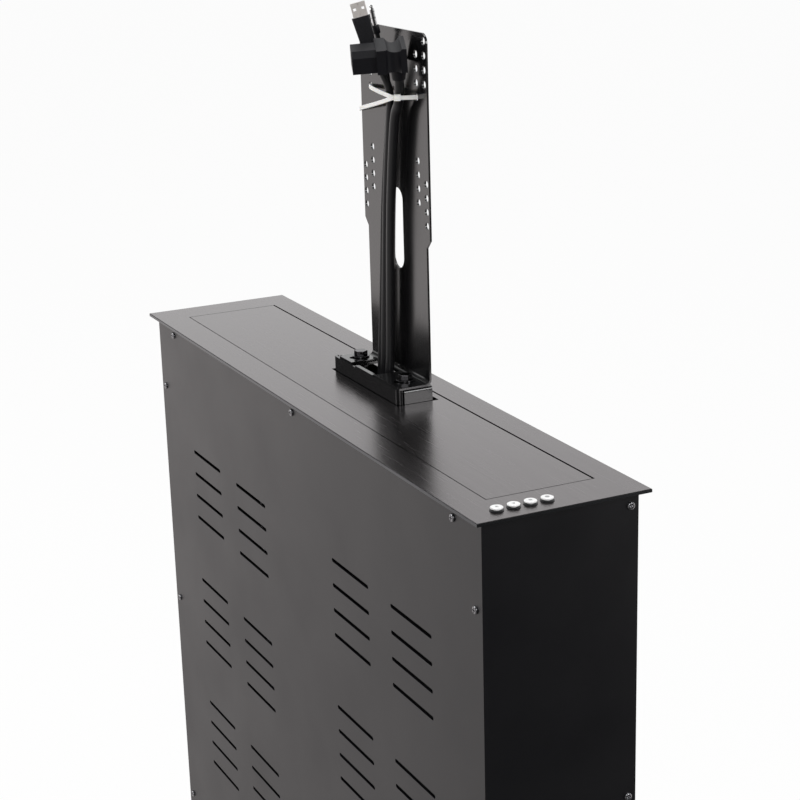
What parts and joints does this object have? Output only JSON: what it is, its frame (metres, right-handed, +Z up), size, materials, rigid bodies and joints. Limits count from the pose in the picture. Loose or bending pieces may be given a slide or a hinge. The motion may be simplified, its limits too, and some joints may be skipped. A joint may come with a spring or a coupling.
{
  "type": "tv lift mechanism",
  "caption": "Slim vented case with a brushed top frame from which a drilled monitor bracket rises on a belt-driven carriage, with push buttons and cords.",
  "frame": {"origin": "centre of the case's bottom face", "axes": "+Z up, +X along the case towards the buttons, -Y towards the vented front"},
  "size_m": [0.603, 0.126, 0.9118],
  "materials": {
    "anodised_frame": "brushed",
    "panel_paint": "satin",
    "side_paint": "satin",
    "bracket_paint": "satin",
    "steel_sheet": "satin",
    "screw_steel": "satin",
    "ground_steel": "polished",
    "machined_aluminium": "satin",
    "bronze": "satin",
    "belt_rubber": "matte",
    "gear_plastic": "matte",
    "bush_plastic": "matte",
    "motor_steel": "satin",
    "black_plastic": "matte",
    "sensor_plastic": "matte",
    "button_metal": "satin",
    "cord_rubber": "satin",
    "plug_metal": "satin",
    "tie_nylon": "satin"
  },
  "bodies": {
    "case": {"top_frame": "anodised_frame", "front_panel": "panel_paint", "rear_panel": "panel_paint", "left_side_panel": "side_paint", "right_side_panel": "side_paint", "top_subframe": "steel_sheet", "rear_posts": "steel_sheet", "bottom_plate": "steel_sheet", "motor_bracket": "steel_sheet", "panel_screws": "screw_steel", "left_guide_rod": "ground_steel", "right_guide_rod": "ground_steel", "left_idler_axle": "ground_steel", "right_idler_axle": "ground_steel", "upper_rod_holders": "machined_aluminium", "lower_rod_holders": "machined_aluminium", "left_shaft_stand": "machined_aluminium", "right_shaft_stand": "machined_aluminium", "shaft_bushes": "bronze", "left_drive_belt": "belt_rubber", "right_drive_belt": "belt_rubber", "gear_motor": "motor_steel", "control_box": "black_plastic", "control_box_lid": "black_plastic", "power_inlet": "black_plastic", "button_bodies": "black_plastic", "limit_sensors": "sensor_plastic"},
    "carriage": {"carriage_beam": "steel_sheet", "left_bearing_block": "machined_aluminium", "right_bearing_block": "machined_aluminium", "left_guide_bush": "bush_plastic", "right_guide_bush": "bush_plastic", "left_belt_clamp": "machined_aluminium", "right_belt_clamp": "machined_aluminium", "foot_channel": "bracket_paint", "cover_panel": "anodised_frame", "cover_brackets": "machined_aluminium", "monitor_bracket": "bracket_paint", "bracket_bolts": "screw_steel", "bracket_washers": "screw_steel", "junction_box": "black_plastic", "power_cord": "cord_rubber", "video_cord": "cord_rubber", "audio_cord": "cord_rubber", "power_connector": "cord_rubber", "video_plug": "cord_rubber", "video_plug_shell": "plug_metal", "audio_plug": "plug_metal", "cable_tie": "tie_nylon"},
    "drive_shaft": {"cross_shaft": "ground_steel", "left_drive_pulley": "machined_aluminium", "right_drive_pulley": "machined_aluminium", "shaft_gear": "gear_plastic"},
    "pinion": {"motor_pinion": "motor_steel"},
    "left_idler": {"left_idler_pulley": "machined_aluminium"},
    "right_idler": {"right_idler_pulley": "machined_aluminium"},
    "up_key": {"up_button": "button_metal"},
    "down_key": {"down_button": "button_metal"},
    "stop_key": {"stop_button": "button_metal"},
    "screen_key": {"screen_button": "button_metal"}
  },
  "joints": [
    {"name": "lift", "type": "slide", "parent": "case", "child": "carriage", "axis": [0, 0, 1], "range_m": [-0.4, 0]},
    {"name": "shaft_spin", "type": "hinge", "parent": "case", "child": "drive_shaft", "pos_m": [0, -0.012, 0.062], "axis": [1, 0, 0], "range_deg": [-1715, 5]},
    {"name": "pinion_spin", "type": "hinge", "parent": "case", "child": "pinion", "pos_m": [0, 0.0161, 0.062], "axis": [1, 0, 0], "range_deg": [-10, 4280]},
    {"name": "left_idler_spin", "type": "hinge", "parent": "case", "child": "left_idler", "pos_m": [0, -0.012, 0.586], "axis": [1, 0, 0], "range_deg": [-1715, 5]},
    {"name": "right_idler_spin", "type": "hinge", "parent": "case", "child": "right_idler", "pos_m": [0, -0.012, 0.586], "axis": [1, 0, 0], "range_deg": [-1715, 5]},
    {"name": "up_press", "type": "slide", "parent": "case", "child": "up_key", "axis": [0, 0, 1], "range_m": [-0.001, 0], "stiffness_N_per_m": 900},
    {"name": "down_press", "type": "slide", "parent": "case", "child": "down_key", "axis": [0, 0, 1], "range_m": [-0.001, 0], "stiffness_N_per_m": 900},
    {"name": "stop_press", "type": "slide", "parent": "case", "child": "stop_key", "axis": [0, 0, 1], "range_m": [-0.001, 0], "stiffness_N_per_m": 900},
    {"name": "screen_press", "type": "slide", "parent": "case", "child": "screen_key", "axis": [0, 0, 1], "range_m": [-0.001, 0], "stiffness_N_per_m": 900}
  ],
  "couplings": [
    {"joint": "shaft_spin", "follows": "lift", "rad_per_m": 74.627},
    {"joint": "pinion_spin", "follows": "lift", "rad_per_m": -186.57},
    {"joint": "left_idler_spin", "follows": "lift", "rad_per_m": 74.627},
    {"joint": "right_idler_spin", "follows": "lift", "rad_per_m": 74.627}
  ]
}
